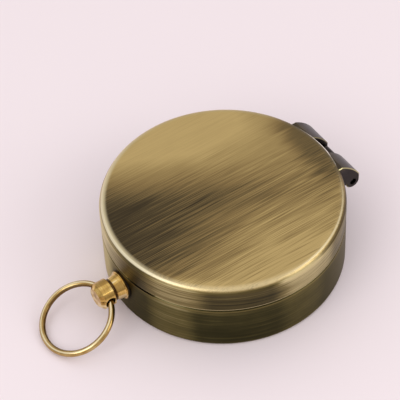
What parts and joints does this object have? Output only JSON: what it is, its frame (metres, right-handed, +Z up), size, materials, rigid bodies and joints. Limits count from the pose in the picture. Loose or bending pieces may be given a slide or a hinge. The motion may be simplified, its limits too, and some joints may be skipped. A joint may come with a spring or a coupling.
{
  "type": "pocket compass",
  "caption": "Round flip-lid pocket compass: brass drum case with a hinged lid, a glass-covered needle dial, and a stud with a wire carrying ring.",
  "frame": {"origin": "centre of the flat underside of the case", "axes": "+Z up through the lid, +Y towards the hinge, -Y towards the pendant and ring"},
  "size_m": [0.05, 0.0721, 0.017],
  "materials": {
    "aged_brass": "brushed, with brown patina",
    "dark_bronze": "darkened, worn at the edges",
    "polished_brass": "polished",
    "steel": "ground",
    "black_rubber": "matt",
    "dial_face": "matt print",
    "scale_face": "matt print",
    "needle_paint": "satin",
    "jewel": "polished",
    "window_glass": "polished"
  },
  "bodies": {
    "case": {"case_body": "aged_brass", "case_knuckle": "dark_bronze", "hinge_pin": "steel", "pendant_post": "polished_brass", "pendant_washer": "black_rubber", "dial_plate": "dial_face", "degree_ring": "scale_face", "pivot_post": "polished_brass", "pivot_pin": "steel", "crystal_gasket": "black_rubber", "crystal": "window_glass", "crystal_bezel": "polished_brass"},
    "lid": {"lid_shell": "aged_brass", "lid_knuckle_left": "dark_bronze", "lid_knuckle_right": "dark_bronze"},
    "bow": {"bow_ring": "polished_brass"},
    "needle": {"compass_needle": "needle_paint", "needle_cap": "polished_brass", "needle_jewel": "jewel", "balance_sleeve": "polished_brass"}
  },
  "joints": [
    {"name": "lid_hinge", "type": "hinge", "parent": "case", "child": "lid", "pos_m": [0, 0.02695, 0.0108], "axis": [-1, 0, 0], "range_deg": [0, 180]},
    {"name": "bow_swing", "type": "hinge", "parent": "case", "child": "bow", "pos_m": [0, -0.02916, 0.0066], "axis": [-1, 0, 0], "range_deg": [-96, 131]},
    {"name": "needle_spin", "type": "hinge", "parent": "case", "child": "needle", "pos_m": [0, 0, 0.0053], "axis": [0, 0, 1], "continuous": true}
  ]
}
